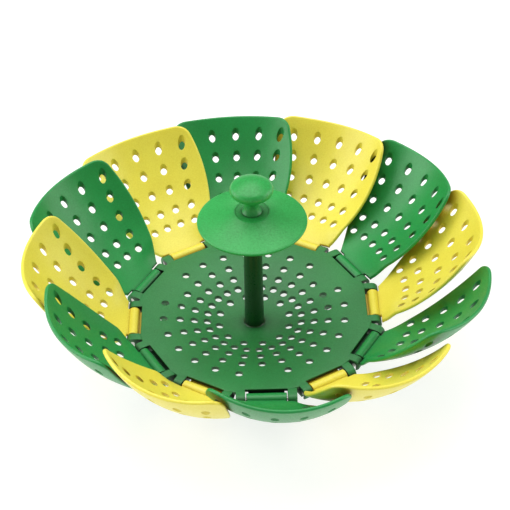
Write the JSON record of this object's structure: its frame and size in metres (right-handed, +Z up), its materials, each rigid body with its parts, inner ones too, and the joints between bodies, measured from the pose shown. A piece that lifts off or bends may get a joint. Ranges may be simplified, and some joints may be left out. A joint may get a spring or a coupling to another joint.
{
  "type": "folding steamer basket",
  "caption": "Folding steamer basket: perforated petals hinged round a dished, perforated plate on short legs, with a central post, guard disc and knob.",
  "frame": {"origin": "floor level on the axis of the central post", "axes": "+Z up; +Y towards petal_01, which is green; petals are numbered clockwise seen from above"},
  "size_m": [0.2254, 0.2324, 0.1033],
  "materials": {
    "plate_green": "satin moulded polypropylene, fine grain",
    "post_green": "satin moulded polypropylene, fine grain",
    "handle_green": "satin moulded polypropylene, fine grain",
    "petal_green": "satin moulded polypropylene, fine grain",
    "petal_yellow": "satin moulded polypropylene, fine grain",
    "steel": "plain drawn stainless steel"
  },
  "bodies": {
    "base": {"base_plate": "plate_green", "post": "post_green", "post_screw": "steel", "guard_disc": "handle_green", "knob": "handle_green", "hinge_pin_01": "steel", "hinge_pin_02": "steel", "hinge_pin_03": "steel", "hinge_pin_04": "steel", "hinge_pin_05": "steel", "hinge_pin_06": "steel", "hinge_pin_07": "steel", "hinge_pin_08": "steel", "hinge_pin_09": "steel", "hinge_pin_10": "steel", "hinge_pin_11": "steel", "hinge_pin_12": "steel"},
    "petal_01": {"petal_01": "petal_green"},
    "petal_02": {"petal_02": "petal_yellow"},
    "petal_03": {"petal_03": "petal_green"},
    "petal_04": {"petal_04": "petal_yellow"},
    "petal_05": {"petal_05": "petal_green"},
    "petal_06": {"petal_06": "petal_yellow"},
    "petal_07": {"petal_07": "petal_green"},
    "petal_08": {"petal_08": "petal_yellow"},
    "petal_09": {"petal_09": "petal_green"},
    "petal_10": {"petal_10": "petal_yellow"},
    "petal_11": {"petal_11": "petal_green"},
    "petal_12": {"petal_12": "petal_yellow"}
  },
  "joints": [
    {"name": "petal_hinge_01", "type": "hinge", "parent": "base", "child": "petal_01", "pos_m": [-0.0047, 0.061, 0.019], "axis": [1, 0, 0], "range_deg": [0, 77.4]},
    {"name": "petal_hinge_02", "type": "hinge", "parent": "base", "child": "petal_02", "pos_m": [0.02643, 0.05518, 0.019], "axis": [0.866, -0.5, 0], "range_deg": [0, 77.2]},
    {"name": "petal_hinge_03", "type": "hinge", "parent": "base", "child": "petal_03", "pos_m": [0.05048, 0.03457, 0.019], "axis": [0.5, -0.866, 0], "range_deg": [0, 75]},
    {"name": "petal_hinge_04", "type": "hinge", "parent": "base", "child": "petal_04", "pos_m": [0.061, 0.0047, 0.019], "axis": [0, -1, 0], "range_deg": [0, 72.9]},
    {"name": "petal_hinge_05", "type": "hinge", "parent": "base", "child": "petal_05", "pos_m": [0.05518, -0.02643, 0.019], "axis": [-0.5, -0.866, 0], "range_deg": [0, 75.9]},
    {"name": "petal_hinge_06", "type": "hinge", "parent": "base", "child": "petal_06", "pos_m": [0.03457, -0.05048, 0.019], "axis": [-0.866, -0.5, 0], "range_deg": [0, 76.7]},
    {"name": "petal_hinge_07", "type": "hinge", "parent": "base", "child": "petal_07", "pos_m": [0.0047, -0.061, 0.019], "axis": [-1, 0, 0], "range_deg": [0, 74.5]},
    {"name": "petal_hinge_08", "type": "hinge", "parent": "base", "child": "petal_08", "pos_m": [-0.02643, -0.05518, 0.019], "axis": [-0.866, 0.5, 0], "range_deg": [0, 72.3]},
    {"name": "petal_hinge_09", "type": "hinge", "parent": "base", "child": "petal_09", "pos_m": [-0.05048, -0.03457, 0.019], "axis": [-0.5, 0.866, 0], "range_deg": [0, 70.1]},
    {"name": "petal_hinge_10", "type": "hinge", "parent": "base", "child": "petal_10", "pos_m": [-0.061, -0.0047, 0.019], "axis": [0, 1, 0], "range_deg": [0, 70.2]},
    {"name": "petal_hinge_11", "type": "hinge", "parent": "base", "child": "petal_11", "pos_m": [-0.05518, 0.02643, 0.019], "axis": [0.5, 0.866, 0], "range_deg": [0, 72]},
    {"name": "petal_hinge_12", "type": "hinge", "parent": "base", "child": "petal_12", "pos_m": [-0.03457, 0.05048, 0.019], "axis": [0.866, 0.5, 0], "range_deg": [0, 76.8]}
  ],
  "couplings": [
    {"joint": "petal_hinge_02", "follows": "petal_hinge_01", "ratio": 0.99742},
    {"joint": "petal_hinge_03", "follows": "petal_hinge_01", "ratio": 0.96899},
    {"joint": "petal_hinge_04", "follows": "petal_hinge_01", "ratio": 0.94186},
    {"joint": "petal_hinge_05", "follows": "petal_hinge_01", "ratio": 0.98062},
    {"joint": "petal_hinge_06", "follows": "petal_hinge_01", "ratio": 0.99096},
    {"joint": "petal_hinge_07", "follows": "petal_hinge_01", "ratio": 0.96253},
    {"joint": "petal_hinge_08", "follows": "petal_hinge_01", "ratio": 0.93411},
    {"joint": "petal_hinge_09", "follows": "petal_hinge_01", "ratio": 0.90568},
    {"joint": "petal_hinge_10", "follows": "petal_hinge_01", "ratio": 0.90698},
    {"joint": "petal_hinge_11", "follows": "petal_hinge_01", "ratio": 0.93023},
    {"joint": "petal_hinge_12", "follows": "petal_hinge_01", "ratio": 0.99225}
  ]
}
